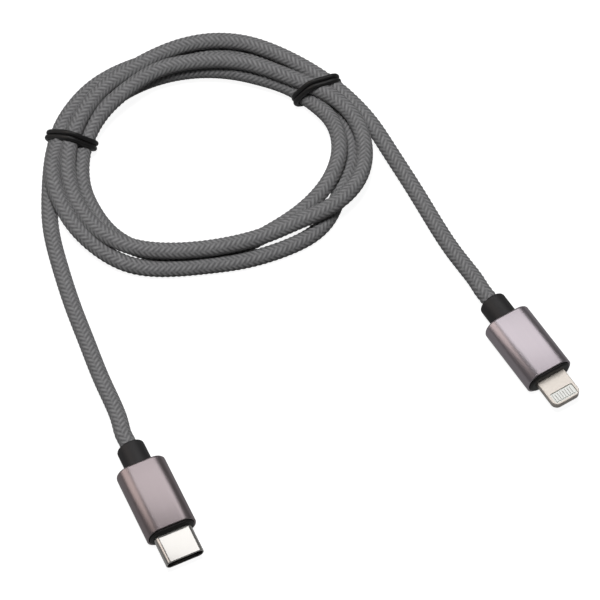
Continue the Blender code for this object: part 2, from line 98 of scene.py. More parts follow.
# Each turn of the coil, wound clockwise: every stage gives the angle, how far the cord
# lies outside the coil's middle line, and how high its middle is
OUTER_LOW_TURN = [
    (195, 5.1, 1.8), (180, 4.1, 2.0), (172, 3.9, 2.6), (165, 3.9, 2.8), (150, 3.5, 2.9),
    (135, 2.7, 2.9), (120, 1.7, 2.9), (105, 0.9, 2.9), (90, 0.3, 2.9), (75, 0.3, 2.9),
    (60, -0.1, 2.9), (45, -0.6, 2.9), (30, -0.4, 2.8), (15, 0.0, 2.4), (0, 0.3, 2.1),
    (-12, 0.15, 1.9), (-20, 0.6, 1.8), (-27, 1.7, 1.8), (-35, 2.8, 1.8), (-45, 3.25, 1.8),
    (-60, 2.8, 1.8), (-75, 2.2, 1.8),
    (-90, 1.6, 1.8), (-105, 2.0, 1.8), (-120, 3.2, 2.1), (-135, 3.5, 3.0), (-150, 3.8, 4.4),
]
INNER_LOW_TURN = [
    (195, 4.0, 5.4), (187, 3.8, 5.3), (179, 3.2, 4.5), (172, 1.8, 3.6), (165, 0.5, 3.0),
    (157, -0.9, 2.9), (148, -1.9, 2.9), (135, -2.7, 2.9), (120, -3.2, 2.9), (105, -3.5, 2.9),
    (90, -3.75, 2.9), (75, -4.1, 2.9), (60, -4.4, 2.9), (45, -4.15, 2.9), (30, -3.9, 3.3),
    (15, -3.05, 4.5), (0, -2.5, 4.9), (-15, -2.4, 4.4), (-30, -2.5, 3.4), (-45, -2.5, 2.4),
    (-60, -2.1, 1.8), (-75, -1.3, 1.8), (-90, -1.6, 1.8), (-105, -1.7, 1.8),
    (-120, -1.35, 1.8), (-135, -1.55, 1.9), (-150, -2.2, 2.1),
]
UPPER_CROSSING_TURN = [
    (195, -2.3, 2.4), (180, -2.5, 2.9), (172, -2.7, 3.4), (165, -3.0, 4.1), (157, -3.5, 5.0),
    (148, -4.0, 5.6), (135, -4.2, 6.0), (120, -3.8, 6.4), (105, -3.65, 6.4), (90, -3.6, 6.4),
    (75, -3.5, 6.3), (60, -3.7, 6.2), (45, -3.4, 6.0), (30, -1.5, 6.1), (15, 1.2, 6.1),
    (0, 3.0, 5.6), (-15, 3.6, 5.5), (-30, 2.3, 5.4), (-45, 0.5, 5.4), (-60, 0.0, 5.2),
    (-75, -0.4, 5.1), (-90, -0.7, 5.1), (-105, -0.5, 5.1), (-120, 0.3, 5.0),
    (-135, 0.85, 4.9), (-150, 0.65, 4.7),
]
OUTER_UPPER_TURN = [
    (195, 0.55, 4.9), (180, 0.3, 5.2), (172, 0.0, 5.8), (165, -0.3, 6.3), (150, -0.4, 6.4),
    (135, -0.6, 6.3), (120, -0.1, 6.2), (105, 1.0, 6.2), (90, 1.9, 6.2), (75, 1.9, 6.2),
    (60, 1.1, 6.1), (45, 0.6, 6.0), (36, 0.9, 5.8), (28, 1.7, 5.5),
]
TURNS = [OUTER_LOW_TURN, INNER_LOW_TURN, UPPER_CROSSING_TURN, OUTER_UPPER_TURN]

# The braid: carriers in each direction, and crossings round one lattice cell
STRANDS = 8
CELL_SPLITS = 3

# Each tie: where it crosses the coil, the point out from the middle line that it turns
# about, how far it is turned, and how far its top leans along the coil for each unit of height
TIES = {"tie_left": (172.0, 4.5, -8.0, 0.42), "tie_right": (36.0, -4.0, -12.0, -0.25)}


# ---------------------------------------------------------------------------
# Sizes and colours that a user may change
# ---------------------------------------------------------------------------

def length(name, description, default):
    return bpy.props.FloatProperty(name=name, description=description, default=default,
                                   min=0.0, precision=5, subtype="DISTANCE", unit="LENGTH")


def colour(name, description, default):
    return bpy.props.FloatVectorProperty(name=name, description=description, default=default,
                                         size=3, min=0.0, max=1.0, subtype="COLOR")


class CableSizes(bpy.types.PropertyGroup):
    """Sizes of the cable's visible pieces."""
    cord_diameter: length("Cord diameter", "Outside of the braid", 0.00356)
    braid_pitch: length("Braid pitch", "Along the cord, from one strand to the next", 0.001155)
    braid_relief: length("Braid relief", "Depth of the gaps between strands", 0.00016)
    sleeve_length: length("Sleeve length", "Aluminium sleeve, end to end", 0.01616)
    sleeve_width: length("Sleeve width", "Aluminium sleeve, side to side", 0.0108)
    sleeve_height: length("Sleeve height", "Aluminium sleeve, top to bottom", 0.0064)
    sleeve_corner: length("Sleeve corner", "Radius of the sleeve's long edges", 0.0030)
    sleeve_wall: length("Sleeve wall", "Thickness of the aluminium", 0.00045)
    collar_diameter: length("Collar diameter", "Round strain relief", 0.0060)
    collar_reach: length("Collar reach", "Strain relief behind the sleeve", 0.00545)
    shell_width: length("Shell width", "Steel shell, side to side", 0.00825)
    shell_height: length("Shell height", "Steel shell, top to bottom", 0.0024)
    shell_reach: length("Shell reach", "Steel shell in front of the sleeve", 0.00683)
    tab_width: length("Tab width", "Plated tab, side to side", 0.0067)
    tab_thickness: length("Tab thickness", "Plated tab, top to bottom", 0.0015)
    tab_reach: length("Tab reach", "Plated tab in front of the sleeve", 0.00706)
    tie_strand: length("Tie strand", "Diameter of each strand of a tie", 0.00108)


class CableFinishes(bpy.types.PropertyGroup):
    """Colours of the cable's finishes."""
    braid_light: colour("Braid, raised yarn", "Top of each strand", (0.322, 0.320, 0.323))
    # The gaps' colour is painted shade between the strands, not a darker yarn
    braid_gap_shade: colour("Braid, gaps", "Between the strands", (0.135, 0.134, 0.138))
    sleeve_rose: colour("Shell plug's sleeve", "Anodised aluminium", (0.345, 0.295, 0.306))
    sleeve_silver: colour("Tab plug's sleeve", "Anodised aluminium", (0.44, 0.395, 0.425))
    mould: colour("Moulded black", "Inner moulds and strain reliefs", (0.013, 0.012, 0.012))
    collar: colour("Strain reliefs", "Matt black rubber", (0.026, 0.025, 0.026))
    steel: colour("Shell", "Bright drawn steel", (0.59, 0.573, 0.55))
    tab: colour("Tab", "Nickel plating", (0.72, 0.66, 0.60))
    elastic: colour("Ties", "Black elastic", (0.010, 0.010, 0.010))


# ---------------------------------------------------------------------------
# Shader maths
# ---------------------------------------------------------------------------

class Signal:
    """One number or vector on its way through a finish's nodes."""

    def __init__(self, tree, socket):
        self.tree = tree
        self.socket = socket

    def maths(self, operation, *values):
        step = self.tree.nodes.new("ShaderNodeMath")
        step.operation = operation
        for entry, value in zip(step.inputs, values):
            if isinstance(value, Signal):
                self.tree.links.new(value.socket, entry)
            else:
                entry.default_value = value
        return Signal(self.tree, step.outputs[0])

    def __add__(self, other):
        return self.maths("ADD", self, other)

    def __radd__(self, other):
        return self.maths("ADD", other, self)

    def __sub__(self, other):
        return self.maths("SUBTRACT", self, other)

    def __rsub__(self, other):
        return self.maths("SUBTRACT", other, self)

    def __mul__(self, other):
        return self.maths("MULTIPLY", self, other)

    def __rmul__(self, other):
        return self.maths("MULTIPLY", other, self)

    def cosine(self):
        return self.maths("COSINE", self)

    def floor(self):
        return self.maths("FLOOR", self)

    def above(self, other):
        return self.maths("GREATER_THAN", self, other)

    def larger(self, other):
        return self.maths("MAXIMUM", self, other)

    def clipped(self):
        return self.maths("MINIMUM", self.maths("MAXIMUM", self, 0.0), 1.0)


class Finish:
    """A material that is built node by node round its Principled shader."""

    def __init__(self, name, roughness, metallic=0.0):
        self.material = bpy.data.materials.new(name)
        self.material.use_nodes = True
        self.tree = self.material.node_tree
        self.surface = self.tree.nodes["Principled BSDF"]
        self.set(Roughness=roughness, Metallic=metallic)

    def set(self, **values):
        for name, value in values.items():
            entry = self.surface.inputs[name.replace("_", " ")]
            if isinstance(value, Signal):
                self.tree.links.new(value.socket, entry)
            else:
                entry.default_value = value

    def node(self, kind, settings=None, inputs=None, output=0):
        """Adds one node, with its settings first and then its sockets' values or links."""
        step = self.tree.nodes.new(kind)
        for name, value in (settings or {}).items():
            setattr(step, name, value)
        for name, value in (inputs or {}).items():
            if isinstance(value, Signal):
                self.tree.links.new(value.socket, step.inputs[name])
            else:
                step.inputs[name].default_value = value
        return Signal(self.tree, step.outputs[output])

    def place(self, turn=0.0, stretch=(1.0, 1.0, 1.0)):
        """Object coordinates, turned about Z and then stretched."""
        point = self.node("ShaderNodeTexCoord", output="Object")
        point = self.node("ShaderNodeMapping", {}, {"Vector": point, "Rotation": (0.0, 0.0, -turn)})
        return self.node("ShaderNodeMapping", {}, {"Vector": point, "Scale": stretch})

    def noise(self, place, scale, detail=2.0):
        return self.node("ShaderNodeTexNoise", {}, {"Vector": place, "Scale": scale,
                                                    "Detail": detail})

    def blend(self, share, dark, light):
        """A colour between two others, by a signal from 0 to 1."""
        ends = [(*end, 1.0) if isinstance(end, (tuple, list)) else end for end in (dark, light)]
        return self.node("ShaderNodeMix", {"data_type": "RGBA"},
                         {0: share, 6: ends[0], 7: ends[1]}, output=2)

    def bump(self, height, strength, depth):
        return self.node("ShaderNodeBump", {}, {"Height": height, "Strength": strength,
                                                "Distance": depth})


def scaled(tone, factor):
    return tuple(min(1.0, part * factor) for part in tone)


def moulded(name, tone, roughness, grain=9000.0, relief=0.00002, spread=0.12, **extra):
    """Plastic or rubber: a fine pebbled skin, slightly uneven in tone and polish."""
    finish = Finish(name, roughness)
    place = finish.place()
    pebble = finish.noise(place, grain, 3.0)
    cloud = finish.noise(place, grain / 22, 2.0)
    share = (cloud * 0.7 + pebble * 0.3).clipped()
    finish.set(Base_Color=finish.blend(share, scaled(tone, 1 - spread), scaled(tone, 1 + spread)),
               Roughness=(roughness - 0.06) + cloud * 0.12,
               Normal=finish.bump(pebble, 0.35, relief), **extra)
    return finish.material


def brushed(name, tone, roughness, turn, grain=5200.0, relief=0.000006, spread=0.05, **extra):
    """Metal with faint drawing lines along the plug."""
    finish = Finish(name, roughness, 1.0)
    lines = finish.noise(finish.place(turn, (0.05, 1.0, 1.0)), grain, 3.0)
    cloud = finish.noise(finish.place(turn), 420.0, 2.0)
    share = (lines * 0.45 + cloud * 0.55).clipped()
    finish.set(Base_Color=finish.blend(share, scaled(tone, 1 - spread), scaled(tone, 1 + spread)),
               Roughness=(roughness - 0.05) + lines * 0.07 + cloud * 0.04,
               Normal=finish.bump(lines, 0.22, relief), **extra)
    return finish.material


def blasted(name, tone, roughness, turn, **extra):
    """Anodised aluminium: a bead-blasted satin with the tube's drawing just showing."""
    finish = Finish(name, roughness, 1.0)
    beads = finish.noise(finish.place(), 14000.0, 2.0)
    drawn = finish.noise(finish.place(turn, (0.03, 1.0, 1.0)), 1500.0, 2.0)
    cloud = finish.noise(finish.place(), 260.0, 2.0)
    share = (beads * 0.35 + drawn * 0.3 + cloud * 0.35).clipped()
    finish.set(Base_Color=finish.blend(share, scaled(tone, 0.94), scaled(tone, 1.06)),
               Roughness=(roughness - 0.04) + cloud * 0.05 + beads * 0.03,
               Normal=finish.bump(beads + drawn * 0.4, 0.25, 0.000008), Metallic=0.85,
               **extra)
    return finish.material


def braid_finish(sizes, finishes):
    """Nylon yarn in pairs over and under, read from the cord's own map: U counts strands
    round the cord, V counts crossings along it. The colour is the yarn's tone on each
    strand's crown and darkens into the gaps between strands, a painted shade."""
    finish = Finish("grey_braid", 0.62)
    at = finish.node("ShaderNodeUVMap", {"uv_map": "braid"})
    axes = finish.node("ShaderNodeSeparateXYZ", {}, {"Vector": at})
    around = axes
    along = Signal(finish.tree, axes.socket.node.outputs[1])
    right = around - along
    left = around + along
    over = ((around - 0.25) * math.pi).cosine() * 0.45
    right_round = (right * math.tau).cosine() * 0.5 + 0.5
    left_round = (left * math.tau).cosine() * 0.5 + 0.5
    right_high = right_round * (over + 0.55)
    left_high = left_round * (0.55 - over)
    on_top = right_high.above(left_high)
    high = right_high.larger(left_high)
    filaments_right = (right * (math.tau * 6)).cosine()
    filaments_left = (left * (math.tau * 6)).cosine()
    filaments = filaments_right * on_top + filaments_left * (1.0 - on_top)
    strand = (right + 0.5).floor() * on_top + (left + 0.5).floor() * (1.0 - on_top)
    tint = finish.node("ShaderNodeTexWhiteNoise", {"noise_dimensions": "1D"},
                       {"W": strand * 0.37 + on_top * 5.3})
    cloud = finish.noise(finish.place(), 900.0, 3.0)
    # Mixing by the strands' height paints shade into the gaps between strands; the rest is random
    # tone and yarn streaks
    share = (high * 0.85 + 0.05 + filaments * 0.05 + (cloud - 0.5) * 0.5
             + (tint - 0.5) * 0.10).clipped()
    finish.set(Base_Color=finish.blend(share, tuple(finishes.braid_gap_shade),
                                       tuple(finishes.braid_light)),
               Roughness=0.74 - high * 0.16,
               Normal=finish.bump(high * 0.75 + filaments * 0.10 + cloud * 0.12, 0.5, 0.00012),
               Specular_IOR_Level=0.35, Sheen_Weight=0.12, Sheen_Roughness=0.5)
    return finish.material


def elastic_finish(finishes):
    """Black elastic cord: fine ribs of thread round a rubber core."""
    finish = Finish("black_elastic", 0.48)
    place = finish.place()
    grain = finish.noise(place, 7000.0, 3.0)
    cloud = finish.noise(place, 500.0, 2.0)
    tone = tuple(finishes.elastic)
    share = (grain * 0.6 + cloud * 0.4).clipped()
    finish.set(Base_Color=finish.blend(share, scaled(tone, 0.6), scaled(tone, 1.5)),
               Roughness=0.40 + grain * 0.12, Normal=finish.bump(grain, 0.4, 0.00003))
    return finish.material


# ---------------------------------------------------------------------------
# Modelling helpers
# ---------------------------------------------------------------------------

def deselect():
    if bpy.context.mode != "OBJECT":
        bpy.ops.object.mode_set(mode="OBJECT")
    for other in bpy.context.view_layer.objects:
        other.select_set(False)


def only(piece):
    """Leaves the piece as the one selected, active object."""
    deselect()
    piece.select_set(True)
    bpy.context.view_layer.objects.active = piece


def edit(piece):
    only(piece)
    bpy.ops.object.mode_set(mode="EDIT")


def leave():
    bpy.ops.object.mode_set(mode="OBJECT")


def pick_faces(piece, test):
    bpy.ops.mesh.select_mode(type="FACE")
    bpy.ops.mesh.select_all(action="DESELECT")
    shape = bmesh.from_edit_mesh(piece.data)
    shape.normal_update()
    chosen = 0
    for face in shape.faces:
        if test(face.calc_center_median(), face.normal):
            face.select = True
            chosen += 1
    shape.select_flush_mode()
    bmesh.update_edit_mesh(piece.data)
    if not chosen:
        raise RuntimeError(f"{piece.name}: no face is where the step expects one")


def pick_edges(piece, test):
    bpy.ops.mesh.select_mode(type="EDGE")
    bpy.ops.mesh.select_all(action="DESELECT")
    shape = bmesh.from_edit_mesh(piece.data)
    chosen = 0
    for edge in shape.edges:
        if test(edge.verts[0].co, edge.verts[1].co):
            edge.select = True
            chosen += 1
    shape.select_flush_mode()
    bmesh.update_edit_mesh(piece.data)
    if not chosen:
        raise RuntimeError(f"{piece.name}: no edge is where the step expects one")


def settle(piece, name):
    """Names a fresh primitive and puts its place and size into its mesh."""
    piece.name = name
    piece.data.name = name
    only(piece)
    bpy.ops.object.transform_apply(location=True, rotation=True, scale=True)
    return piece


def add_block(name, low, high):
    deselect()
    middle = [(a + b) / 2 for a, b in zip(low, high)]
    reach = [b - a for a, b in zip(low, high)]
    bpy.ops.mesh.primitive_cube_add(size=1.0, location=middle)
    piece = bpy.context.object
    piece.scale = reach
    return settle(piece, name)


def add_rod(name, back, front, radius, sides=64):
    """A cylinder that lies along X."""
    deselect()
    bpy.ops.mesh.primitive_cylinder_add(vertices=sides, radius=radius, depth=front - back,
                                        location=((back + front) / 2, 0.0, 0.0),
                                        rotation=(0.0, math.pi / 2, 0.0))
    return settle(bpy.context.object, name)


def round_bar(name, back, front, width, height, corner, segments=10):
    """A bar along X whose four long edges are rounded."""
    piece = add_block(name, (back, -width / 2, -height / 2), (front, width / 2, height / 2))
    edit(piece)
    pick_edges(piece, lambda a, b: abs(a.x - b.x) > (front - back) * 0.5)
    bpy.ops.mesh.bevel(offset=corner, segments=segments, affect="EDGES", profile=0.5)
    leave()
    return piece


def round_rim(piece, along, offset, segments):
    """Rounds every edge that lies in the plane across X at one place."""
    edit(piece)
    pick_edges(piece, lambda a, b: abs(a.x - along) < TINY and abs(b.x - along) < TINY)
    bpy.ops.mesh.bevel(offset=offset, segments=segments, affect="EDGES", profile=0.5)
    leave()


def hollow(piece, along, facing, wall, depth):
    """Insets the end face at one place along X and pushes it in."""
    edit(piece)
    pick_faces(piece, lambda middle, normal: abs(middle.x - along) < TINY
               and normal.x * facing > 0.9)
    bpy.ops.mesh.inset(thickness=wall, depth=0.0)
    bpy.ops.mesh.extrude_region_move(
        TRANSFORM_OT_translate={"value": (-facing * depth, 0.0, 0.0)})
    leave()


def cut(piece, cutter):
    """Takes the cutter's shape out of the piece, and removes the cutter."""
    only(piece)
    step = piece.modifiers.new("cut", "BOOLEAN")
    step.operation = "DIFFERENCE"
    step.solver = "EXACT"
    step.object = cutter
    bpy.ops.object.modifier_apply(modifier=step.name)
    bpy.data.objects.remove(cutter, do_unlink=True)


def smooth(piece, degrees=32):
    only(piece)
    bpy.ops.object.shade_smooth_by_angle(angle=math.radians(degrees))


def plug_matrix(prefix):
    (x, y), heading = PLUGS[prefix]
    return (Matrix.Translation((x * MM, y * MM, PLUG_LIFT * MM))
            @ Matrix.Rotation(heading, 4, "Z"))


def put_on_plug(piece, prefix):
    """Moves a finished piece from the plug's own axes to where the plug lies."""
    only(piece)
    piece.matrix_world = plug_matrix(prefix)
    bpy.ops.object.transform_apply(location=True, rotation=True, scale=True)


def finish_piece(piece, material, body, slot, *nodes):
    piece.data.materials.clear()
    piece.data.materials.append(material)
    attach(piece, body)
    if nodes:
        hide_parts(*nodes)


# ---------------------------------------------------------------------------
# The cord's route
# ---------------------------------------------------------------------------

def coil_place(angle, out, height):
    """A point out from the coil's middle line, in millimetres."""
    ray = math.radians(angle)
    radius = (COIL_MEAN_RADIUS + COIL_OVAL * math.cos(2 * (ray - COIL_OVAL_TURN))
              + COIL_PEAR * math.cos(3 * ray) + out)
    return (COIL_CENTRE[0] + radius * math.cos(ray), COIL_CENTRE[1] + radius * math.sin(ray),
            height)


def behind_plug(prefix, along):
    """A point on the plug's own axis, in millimetres, so far along it."""
    (x, y), heading = PLUGS[prefix]
    return (x + along * math.cos(heading), y + along * math.sin(heading), PLUG_LIFT)


def cord_guides(sizes):
    """The points that the cord's middle passes through, from plug to plug, in metres."""
    back = -(sizes.sleeve_length + sizes.collar_reach) / MM
    guides = [behind_plug("shell_plug", back - step) for step in (-0.15, 1.8, 3.6)]
    guides += SHELL_RUN[::-1]
    for turn in TURNS:
        for angle, out, height in turn:
            guides.append(coil_place(angle, out, height))
    guides += TAB_RUN
    guides += [behind_plug("tab_plug", back - step) for step in (3.6, 1.8, -0.15)]
    return np.array(guides) * MM


def smooth_route(guides, step):
    """Points an even step apart on the curve with the least bending through the guides."""
    gaps = np.linalg.norm(np.diff(guides, axis=0), axis=1) ** 0.5
    knots = np.concatenate([[0.0], np.cumsum(gaps)])
    count = len(guides)
    system = np.eye(count)
    pull = np.zeros((count, 3))
    for index in range(1, count - 1):
        system[index, index - 1] = gaps[index - 1]
        system[index, index] = 2 * (gaps[index - 1] + gaps[index])
        system[index, index + 1] = gaps[index]
        pull[index] = 6 * ((guides[index + 1] - guides[index]) / gaps[index]
                           - (guides[index] - guides[index - 1]) / gaps[index - 1])
    bend = np.linalg.solve(system, pull)
    at = np.linspace(0.0, knots[-1], 80 * count)
    piece = np.clip(np.searchsorted(knots, at, side="right") - 1, 0, count - 2)
    gap = gaps[piece][:, None]
    after = (at - knots[piece])[:, None]
    before = (knots[piece + 1] - at)[:, None]
    dense = ((bend[piece] * before ** 3 + bend[piece + 1] * after ** 3) / (6 * gap)
             + (guides[piece] / gap - bend[piece] * gap / 6) * before
             + (guides[piece + 1] / gap - bend[piece + 1] * gap / 6) * after)
    run = np.concatenate([[0.0], np.cumsum(np.linalg.norm(np.diff(dense, axis=0), axis=1))])
    number = max(2, int(run[-1] / step))
    even = np.linspace(0.0, run[-1], number + 1)
    return np.stack([np.interp(even, run, dense[:, axis]) for axis in range(3)], axis=1), run[-1]


def carried_axes(route):
    """Directions along, across and square to the route, carried along without twist."""
    ahead = np.gradient(route, axis=0)
    ahead /= np.linalg.norm(ahead, axis=1)[:, None]
    side = np.cross(ahead[0], (0.0, 0.0, 1.0))
    side /= np.linalg.norm(side)
    sides = np.empty_like(route)
    for index, direction in enumerate(ahead):
        side = side - direction * (side @ direction)
        side = side / math.sqrt(side @ side)
        sides[index] = side
    return ahead, sides, np.cross(ahead, sides)


def braid_height(around, along):
    """How high the braid stands, from 0 in its gaps to 1 on each strand's crown, at U and V
    of its map."""
    over = 0.45 * np.cos(np.pi * (around - 0.25))
    right = 0.5 + 0.5 * np.cos(2 * np.pi * (around - along))
    left = 0.5 + 0.5 * np.cos(2 * np.pi * (around + along))
    return np.maximum(right * (0.55 + over), left * (0.55 - over))


class CABLE_OT_cord(bpy.types.Operator):
    """Braid the cord along its whole route, from plug to plug."""
    bl_idname = "cable.cord"
    bl_label = "Braided cord"

    def execute(self, context):
        sizes, finishes = context.scene.cable_sizes, context.scene.cable_finishes
        route, reach = smooth_route(cord_guides(sizes), sizes.braid_pitch / (2 * CELL_SPLITS))
        ahead, side, up = carried_axes(route)
        rows, columns = len(route), CELL_SPLITS * STRANDS
        row, column = np.meshgrid(np.arange(rows), np.arange(columns), indexing="ij")
        around = (2 * column + row % 2) / (2 * CELL_SPLITS)
        along = row / (2 * CELL_SPLITS)
        stand = sizes.braid_relief * (braid_height(around, along) - 0.62)
        radius = sizes.cord_diameter / 2 + stand
        turn = around / STRANDS * 2 * np.pi
        points = (route[:, None, :] + radius[..., None]
                  * (side[:, None, :] * np.cos(turn)[..., None]
                     + up[:, None, :] * np.sin(turn)[..., None]))
        faces, maps = self.lattice(rows, columns)
        mesh = bpy.data.meshes.new("braided_cord")
        mesh.from_pydata(points.reshape(-1, 3).tolist(), [], faces)
        mesh.validate()
        strands = mesh.uv_layers.new(name="braid")
        strands.uv.foreach_set("vector", np.array(maps, np.float32).ravel())
        self.pack_in_strips(mesh, np.array(maps), rows)
        mesh.shade_smooth()
        cord = bpy.data.objects.new("braided_cord", mesh)
        context.scene.collection.objects.link(cord)
        finish_piece(cord, braid_finish(sizes, finishes), "cable", "grey_braid",
                     "cord_coil", "cord_to_shell_plug", "cord_to_tab_plug")
        return {"FINISHED"}

    @staticmethod
    def lattice(rows, columns):
        """Diamond faces between the crossings, closed at both ends, with U and V for
        each corner."""
        faces, maps = [], []
        scale = 1.0 / (2 * CELL_SPLITS)

        def number(row, place):
            return row * columns + ((place - row % 2) // 2) % columns

        for row in range(rows - 2):
            for column in range(columns):
                place = 2 * column + row % 2
                corners = ((row, place), (row + 1, place + 1), (row + 2, place),
                           (row + 1, place - 1))
                faces.append([number(*corner) for corner in corners])
                maps.extend((spot * scale, step * scale) for step, spot in corners)
        for first, second, order in ((0, 1, 1), (rows - 1, rows - 2, -1)):
            for column in range(columns):
                place = 2 * column + first % 2
                corners = ((first, place), (first, place + 2), (second, place + 1))[::order]
                faces.append([number(*corner) for corner in corners])
                maps.extend((spot * scale, step * scale) for step, spot in corners)
        for end, order in ((0, -1), (rows - 1, 1)):
            places = [2 * column + end % 2 for column in range(columns)][::order]
            faces.append([number(end, place) for place in places])
            maps.extend((place * scale, end * scale) for place in places)
        return faces, maps

    @staticmethod
    def pack_in_strips(mesh, maps, rows):
        """A second map that cuts the long cord into strips, one above the other."""
        strips = 8
        total = rows / (2 * CELL_SPLITS)
        share = total / strips
        starts = np.zeros(len(mesh.polygons), np.int32)
        mesh.polygons.foreach_get("loop_start", starts)
        counts = np.zeros(len(mesh.polygons), np.int32)
        mesh.polygons.foreach_get("loop_total", counts)
        lowest = np.minimum.reduceat(maps[:, 1], starts)
        strip = np.repeat(np.minimum((lowest / share).astype(int), strips - 1), counts)
        packed = np.empty((len(maps), 2), np.float32)
        packed[:, 0] = 0.004 + 0.985 * (maps[:, 1] - strip * share) / (share + 1.0)
        packed[:, 1] = (strip + 0.05 + 0.90 * (maps[:, 0] + 0.25) / (STRANDS + 0.5)) / strips
        layer = mesh.uv_layers.new(name="OFBake")
        layer.uv.foreach_set("vector", packed.ravel())


# ---------------------------------------------------------------------------
# Ties
# ---------------------------------------------------------------------------

def hull(spots):
    """The spots on the outside of a flat set, in order."""
    spots = sorted(spots)

    def half(ordered):
        chain = []
        for spot in ordered:
            while len(chain) > 1 and ((chain[-1][0] - chain[-2][0]) * (spot[1] - chain[-2][1])
                                      <= (chain[-1][1] - chain[-2][1]) * (spot[0] - chain[-2][0])):
                chain.pop()
            chain.append(spot)
        return chain[:-1]

    return half(spots) + half(spots[::-1])


def loop_round(crossings, radius, count):
    """Even points on the tight loop round circles of one radius."""
    spots = []
    for across, up in crossings:
        for index in range(72):
            turn = math.tau * index / 72
            spots.append((across + radius * math.cos(turn), up + radius * math.sin(turn)))
    outline = np.array(hull(spots))
    outline = np.vstack([outline, outline[:1]])
    run = np.concatenate([[0.0], np.cumsum(np.linalg.norm(np.diff(outline, axis=0), axis=1))])
    even = np.arange(count) * run[-1] / count
    loop = np.stack([np.interp(even, run, outline[:, axis]) for axis in range(2)], axis=1)
    for _ in range(3):
        loop = (np.roll(loop, 1, axis=0) + 2 * loop + np.roll(loop, -1, axis=0)) / 4
    return loop


class CABLE_OT_ties(bpy.types.Operator):
    """Wrap each doubled elastic tie tightly round the turns that it holds."""
    bl_idname = "cable.ties"
    bl_label = "Elastic ties"

    def execute(self, context):
        sizes, finishes = context.scene.cable_sizes, context.scene.cable_finishes
        route, _ = smooth_route(cord_guides(sizes), 0.0003)
        material = elastic_finish(finishes)
        for name, (angle, out, turn, lean) in TIES.items():
            ray = math.radians(angle + turn)
            outward = np.array([math.cos(ray), math.sin(ray), 0.0])
            upward = np.array([-outward[1] * lean, outward[0] * lean, 1.0])
            upward /= math.sqrt(upward @ upward)
            pivot = np.array(coil_place(angle, out, 3.5)) * MM
            self.wrap(name, pivot, outward, upward, route, sizes, material)
        return {"FINISHED"}

    def wrap(self, name, pivot, outward, upward, route, sizes, material):
        along = np.cross(outward, upward)
        offset = route - pivot
        ahead = offset @ along
        crossings = []
        for index in np.nonzero(np.diff(np.sign(ahead)))[0]:
            if abs(offset[index] @ outward) < 0.012:
                crossings.append((float(offset[index] @ outward), float(offset[index] @ upward)))
        strand = sizes.tie_strand
        loop = loop_round(crossings, sizes.cord_diameter / 2 + strand * 0.46, 96)
        lowest = (strand / 2 - pivot[2]) / upward[2]
        loop[:, 1] = np.maximum(loop[:, 1], lowest)
        made = [self.strand(name + "_band", loop, side, pivot, outward, upward, along, strand)
                for side in (-1, 1)]
        only(made[0])
        made[1].select_set(True)
        bpy.ops.object.join()
        band = bpy.context.object
        band.name = name + "_band"
        bpy.ops.object.shade_smooth()
        finish_piece(band, material, name, "black_elastic", name)

    @staticmethod
    def strand(name, loop, side, pivot, across, upward, along, thickness):
        """A torus whose rings are moved onto the loop."""
        deselect()
        rings, sides = len(loop), 14
        bpy.ops.mesh.primitive_torus_add(major_segments=rings, minor_segments=sides,
                                         major_radius=0.005, minor_radius=thickness / 2)
        band = settle(bpy.context.object, name)
        tangent = np.roll(loop, -1, axis=0) - np.roll(loop, 1, axis=0)
        tangent /= np.linalg.norm(tangent, axis=1)[:, None]
        outward = np.stack([tangent[:, 1], -tangent[:, 0]], axis=1)
        for ring in range(rings):
            swell = 1.0 + 0.05 * math.sin(5.0 * math.tau * ring / rings + side)
            drift = side * thickness * 0.53 + 0.00012 * math.sin(math.tau * 2 * ring / rings)
            for corner in range(sides):
                turn = math.tau * corner / sides
                out = thickness / 2 * swell * math.cos(turn)
                flat = loop[ring] + outward[ring] * out
                band.data.vertices[ring * sides + corner].co = (
                    pivot + across * flat[0] + upward * flat[1]
                    + along * (thickness / 2 * 1.08 * math.sin(turn) + drift))
        edit(band)
        bpy.ops.mesh.select_all(action="SELECT")
        bpy.ops.mesh.normals_make_consistent(inside=False)
        leave()
        return band


# ---------------------------------------------------------------------------
# Plugs
# ---------------------------------------------------------------------------

class CABLE_OT_sleeves(bpy.types.Operator):
    """Draw the two aluminium sleeves, open at the mouth and pierced behind."""
    bl_idname = "cable.sleeves"
    bl_label = "Aluminium sleeves"

    def execute(self, context):
        sizes, finishes = context.scene.cable_sizes, context.scene.cable_finishes
        for prefix, tone in (("shell_plug", finishes.sleeve_rose),
                             ("tab_plug", finishes.sleeve_silver)):
            back = -sizes.sleeve_length
            end_wall, back_rim, mouth_rim, gap = 0.0008, 0.0005, 0.00012, 0.0001
            sleeve = round_bar(prefix + "_drawn_sleeve", back, 0.0, sizes.sleeve_width,
                               sizes.sleeve_height, sizes.sleeve_corner, 14)
            round_rim(sleeve, back, back_rim, 5)
            hollow(sleeve, 0.0, 1, sizes.sleeve_wall, sizes.sleeve_length - end_wall)
            round_rim(sleeve, 0.0, mouth_rim, 3)
            cut(sleeve, add_rod("hole", back - MM, back + 2 * MM,
                                sizes.collar_diameter / 2 + gap))
            smooth(sleeve)
            put_on_plug(sleeve, prefix)
            material = blasted(prefix + "_anodised_aluminium", tuple(tone), 0.33,
                               PLUGS[prefix][1])
            finish_piece(sleeve, material, "cable", "anodised_aluminium", prefix + "_sleeve")
        return {"FINISHED"}


